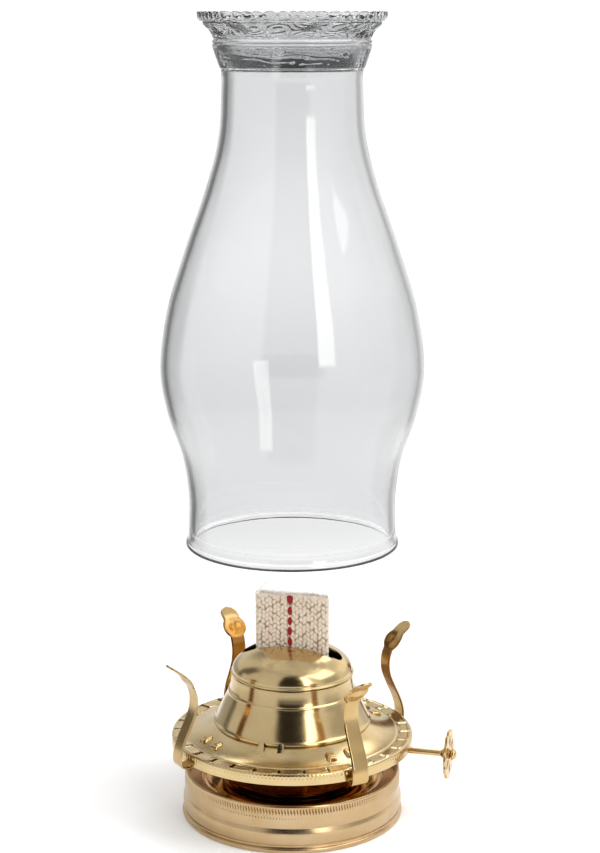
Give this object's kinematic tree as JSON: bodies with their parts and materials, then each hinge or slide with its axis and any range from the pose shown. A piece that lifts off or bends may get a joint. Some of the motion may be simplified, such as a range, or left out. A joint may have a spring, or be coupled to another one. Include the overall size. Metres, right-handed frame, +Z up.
{
  "type": "oil lamp burner and chimney",
  "caption": "Flat-wick oil lamp burner on a screw band for a jar, with sprung prongs, a wick raiser and a clear glass bulge chimney lifted above it.",
  "frame": {"origin": "on the burner's axis, at the underside of the jar band, where a jar's neck comes up into it", "axes": "+Z up along the burner's axis; +X along the wick raiser's shaft, towards the thumbwheel, and along the wick's width"},
  "size_m": [0.097, 0.0842, 0.2639],
  "materials": {
    "brass": "bright pressed sheet",
    "pale_brass": "bright polished sheet, slightly pale",
    "cotton": "knitted flat wick tape with one red marker thread",
    "clear_glass": "clear blown glass"
  },
  "bodies": {
    "burner": {"jar_band": "pale_brass", "adapter_plate": "brass", "adapter_collar": "brass", "burner_cup": "brass", "tube_plate": "brass", "wick_tube": "brass", "ratchet_housing": "brass", "air_screen": "brass", "gallery_plate": "pale_brass", "prong_1": "brass", "prong_2": "brass", "prong_3": "brass", "prong_4": "brass", "cone_skirt": "pale_brass", "dome_cap": "pale_brass"},
    "wick_raiser": {"wick_shaft": "brass", "star_wheel_1": "brass", "star_wheel_2": "brass", "star_wheel_3": "brass", "star_wheel_4": "brass", "thumbwheel": "brass"},
    "wick": {"wick": "cotton"},
    "chimney": {"chimney": "clear_glass"}
  },
  "joints": [
    {"name": "wick_turn", "type": "hinge", "parent": "burner", "child": "wick_raiser", "pos_m": [0, 0.0058, 0.0226], "axis": [-1, 0, 0], "range_deg": [-306, 77]},
    {"name": "wick_raise", "type": "slide", "parent": "burner", "child": "wick", "axis": [0, 0, 1], "range_m": [-0.024, 0.006]},
    {"name": "chimney_lift", "type": "slide", "parent": "burner", "child": "chimney", "axis": [0, 0, 1], "range_m": [-0.064, 0]}
  ],
  "couplings": [
    {"joint": "wick_turn", "follows": "wick_raise", "rad_per_m": 222.22}
  ]
}
